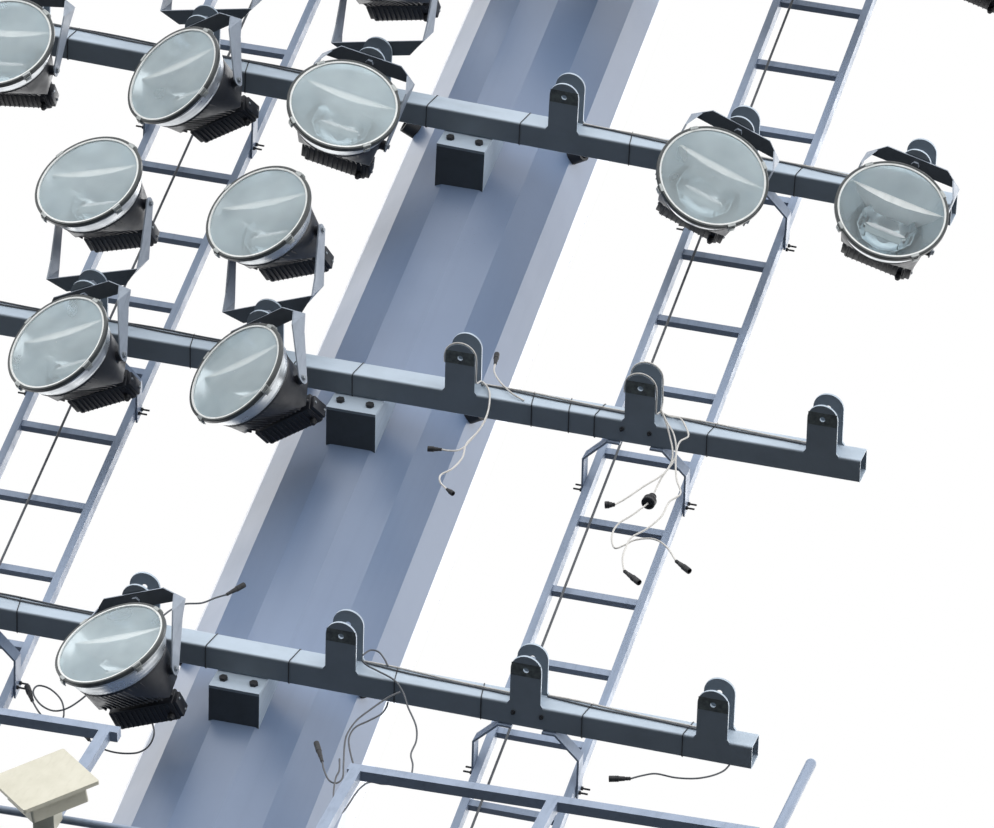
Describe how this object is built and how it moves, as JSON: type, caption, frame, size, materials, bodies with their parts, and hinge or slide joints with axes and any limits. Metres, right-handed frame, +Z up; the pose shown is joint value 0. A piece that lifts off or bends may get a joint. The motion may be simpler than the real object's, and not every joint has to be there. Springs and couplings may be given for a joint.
{
  "type": "stadium floodlight pylon",
  "caption": "Raked, tapered steel mast on a base flange, with crossarms of round floodlights that pan and tilt on yokes, ladders and a maintenance platform.",
  "frame": {"origin": "centre of the underside of the level base flange", "axes": "+X along the crossarms, -Y towards the pitch that the mast leans to, +Z up"},
  "size_m": [4.7512, 10.8148, 32.8933],
  "materials": {
    "mast_paint": "weathered satin paint",
    "arm_paint": "weathered satin paint",
    "ladder_paint": "weathered satin paint",
    "zinc": "dull zinc",
    "grating": "dull zinc",
    "steel_rope": "dull",
    "black_fittings": "matte",
    "aerial_shell": "matte",
    "yoke_paint": "satin",
    "light_housing": "satin powder coat",
    "lead_sheath": "matte, dusty",
    "plug_rubber": "matte"
  },
  "bodies": {
    "tower": {"base_flange": "mast_paint", "mast_lower": "mast_paint", "mast_middle": "mast_paint", "mast_upper": "mast_paint", "mast_cap": "mast_paint", "service_doors": "mast_paint", "crossarm_1": "arm_paint", "crossarm_2": "arm_paint", "crossarm_3": "arm_paint", "crossarm_4": "arm_paint", "stub_brackets": "arm_paint", "splice_bolts": "zinc", "cable_outlets": "black_fittings", "ladder_left": "ladder_paint", "ladder_right": "ladder_paint", "ladder_brackets": "ladder_paint", "fall_arrest_cables": "steel_rope", "platform_frame": "arm_paint", "platform_deck": "grating", "railing_front": "ladder_paint", "railing_rear": "ladder_paint", "aerial_pole": "zinc", "panel_aerial": "aerial_shell", "yokes_top_row": "yoke_paint", "heads_top_row": "light_housing", "leads_crossarm_3": "lead_sheath", "leads_crossarm_4": "lead_sheath", "lead_plugs": "plug_rubber"},
    "yoke_2_1_low": {"yoke_2_1_low": "yoke_paint"},
    "head_2_1_low": {"head_2_1_low": "light_housing"},
    "yoke_2_2_low": {"yoke_2_2_low": "yoke_paint"},
    "head_2_2_low": {"head_2_2_low": "light_housing"},
    "yoke_2_2_high": {"yoke_2_2_high": "yoke_paint"},
    "head_2_2_high": {"head_2_2_high": "light_housing"},
    "yoke_2_3_low": {"yoke_2_3_low": "yoke_paint"},
    "head_2_3_low": {"head_2_3_low": "light_housing"},
    "yoke_2_3_high": {"yoke_2_3_high": "yoke_paint"},
    "head_2_3_high": {"head_2_3_high": "light_housing"},
    "yoke_2_5_low": {"yoke_2_5_low": "yoke_paint"},
    "head_2_5_low": {"head_2_5_low": "light_housing"},
    "yoke_2_6_low": {"yoke_2_6_low": "yoke_paint"},
    "head_2_6_low": {"head_2_6_low": "light_housing"},
    "yoke_3_2_low": {"yoke_3_2_low": "yoke_paint"},
    "head_3_2_low": {"head_3_2_low": "light_housing"},
    "yoke_3_2_high": {"yoke_3_2_high": "yoke_paint"},
    "head_3_2_high": {"head_3_2_high": "light_housing"},
    "yoke_3_3_low": {"yoke_3_3_low": "yoke_paint"},
    "head_3_3_low": {"head_3_3_low": "light_housing"},
    "yoke_3_3_high": {"yoke_3_3_high": "yoke_paint"},
    "head_3_3_high": {"head_3_3_high": "light_housing"},
    "yoke_4_3_low": {"yoke_4_3_low": "yoke_paint"},
    "head_4_3_low": {"head_4_3_low": "light_housing"}
  },
  "joints": [
    {"name": "pan_2_1_low", "type": "hinge", "parent": "tower", "child": "yoke_2_1_low", "pos_m": [-1.8611, -9.36508, 30.63278], "axis": [0, 0, 1], "range_deg": [-33, 33]},
    {"name": "tilt_2_1_low", "type": "hinge", "parent": "yoke_2_1_low", "child": "head_2_1_low", "pos_m": [-1.83977, -9.19138, 30.34578], "axis": [0.9925, -0.1219, 0], "range_deg": [-25, 40]},
    {"name": "pan_2_2_low", "type": "hinge", "parent": "tower", "child": "yoke_2_2_low", "pos_m": [-1.13742, -9.3436, 30.63278], "axis": [0, 0, 1], "range_deg": [-7, 59]},
    {"name": "tilt_2_2_low", "type": "hinge", "parent": "yoke_2_2_low", "child": "head_2_2_low", "pos_m": [-1.0421, -9.19683, 30.34578], "axis": [0.8387, -0.5446, 0], "range_deg": [-26, 39]},
    {"name": "pan_2_2_high", "type": "hinge", "parent": "tower", "child": "yoke_2_2_high", "pos_m": [-1.13742, -9.3436, 30.73278], "axis": [0, 0, 1], "range_deg": [-29, 37]},
    {"name": "tilt_2_2_high", "type": "hinge", "parent": "yoke_2_2_high", "child": "head_2_2_high", "pos_m": [-1.17081, -9.51539, 31.01978], "axis": [0.9816, -0.1908, 0], "range_deg": [-22, 28]},
    {"name": "pan_2_3_low", "type": "hinge", "parent": "tower", "child": "yoke_2_3_low", "pos_m": [-0.41373, -9.32212, 30.63278], "axis": [0, 0, 1], "range_deg": [-51, 15]},
    {"name": "tilt_2_3_low", "type": "hinge", "parent": "yoke_2_3_low", "child": "head_2_3_low", "pos_m": [-0.44712, -9.15034, 30.34578], "axis": [0.9816, 0.1908, 0], "range_deg": [-21, 44]},
    {"name": "pan_2_3_high", "type": "hinge", "parent": "tower", "child": "yoke_2_3_high", "pos_m": [-0.41373, -9.32212, 30.73278], "axis": [0, 0, 1], "range_deg": [-29, 37]},
    {"name": "tilt_2_3_high", "type": "hinge", "parent": "yoke_2_3_high", "child": "head_2_3_high", "pos_m": [-0.44712, -9.49391, 31.01978], "axis": [0.9816, -0.1908, 0], "range_deg": [-21, 29]},
    {"name": "pan_2_5_low", "type": "hinge", "parent": "tower", "child": "yoke_2_5_low", "pos_m": [1.11659, -9.2767, 30.63278], "axis": [0, 0, 1], "range_deg": [-62, 4]},
    {"name": "tilt_2_5_low", "type": "hinge", "parent": "yoke_2_5_low", "child": "head_2_5_low", "pos_m": [1.05104, -9.11444, 30.34578], "axis": [0.9272, 0.3746, 0], "range_deg": [-26, 39]},
    {"name": "pan_2_6_low", "type": "hinge", "parent": "tower", "child": "yoke_2_6_low", "pos_m": [1.84027, -9.25522, 30.63278], "axis": [0, 0, 1], "range_deg": [-55, 11]},
    {"name": "tilt_2_6_low", "type": "hinge", "parent": "yoke_2_6_low", "child": "head_2_6_low", "pos_m": [1.79498, -9.08619, 30.34578], "axis": [0.9659, 0.2588, 0], "range_deg": [-25, 40]},
    {"name": "pan_3_2_low", "type": "hinge", "parent": "tower", "child": "yoke_3_2_low", "pos_m": [-1.12364, -8.91086, 29.18733], "axis": [0, 0, 1], "range_deg": [-13, 53]},
    {"name": "tilt_3_2_low", "type": "hinge", "parent": "yoke_3_2_low", "child": "head_3_2_low", "pos_m": [-1.04419, -8.75493, 28.90033], "axis": [0.891, -0.454, 0], "range_deg": [-24, 41]},
    {"name": "pan_3_2_high", "type": "hinge", "parent": "tower", "child": "yoke_3_2_high", "pos_m": [-1.12364, -8.91086, 29.28733], "axis": [0, 0, 1], "range_deg": [-23, 43]},
    {"name": "tilt_3_2_high", "type": "hinge", "parent": "yoke_3_2_high", "child": "head_3_2_high", "pos_m": [-1.17481, -9.07821, 29.57433], "axis": [0.9563, -0.2924, 0], "range_deg": [-22, 28]},
    {"name": "pan_3_3_low", "type": "hinge", "parent": "tower", "child": "yoke_3_3_low", "pos_m": [-0.39964, -8.90959, 29.18733], "axis": [0, 0, 1], "range_deg": [-5, 61]},
    {"name": "tilt_3_3_low", "type": "hinge", "parent": "yoke_3_3_low", "child": "head_3_3_low", "pos_m": [-0.29927, -8.76624, 28.90033], "axis": [0.8192, -0.5736, 0], "range_deg": [-23, 42]},
    {"name": "pan_3_3_high", "type": "hinge", "parent": "tower", "child": "yoke_3_3_high", "pos_m": [-0.39964, -8.90959, 29.28733], "axis": [0, 0, 1], "range_deg": [-19, 47]},
    {"name": "tilt_3_3_high", "type": "hinge", "parent": "yoke_3_3_high", "child": "head_3_3_high", "pos_m": [-0.46236, -9.07297, 29.57433], "axis": [0.9336, -0.3584, 0], "range_deg": [-25, 25]},
    {"name": "pan_4_3_low", "type": "hinge", "parent": "tower", "child": "yoke_4_3_low", "pos_m": [-0.42019, -8.51171, 27.74189], "axis": [0, 0, 1], "range_deg": [-18, 48]},
    {"name": "tilt_4_3_low", "type": "hinge", "parent": "yoke_4_3_low", "child": "head_4_3_low", "pos_m": [-0.35464, -8.34945, 27.45489], "axis": [0.9272, -0.3746, 0], "range_deg": [-11, 54]}
  ]
}
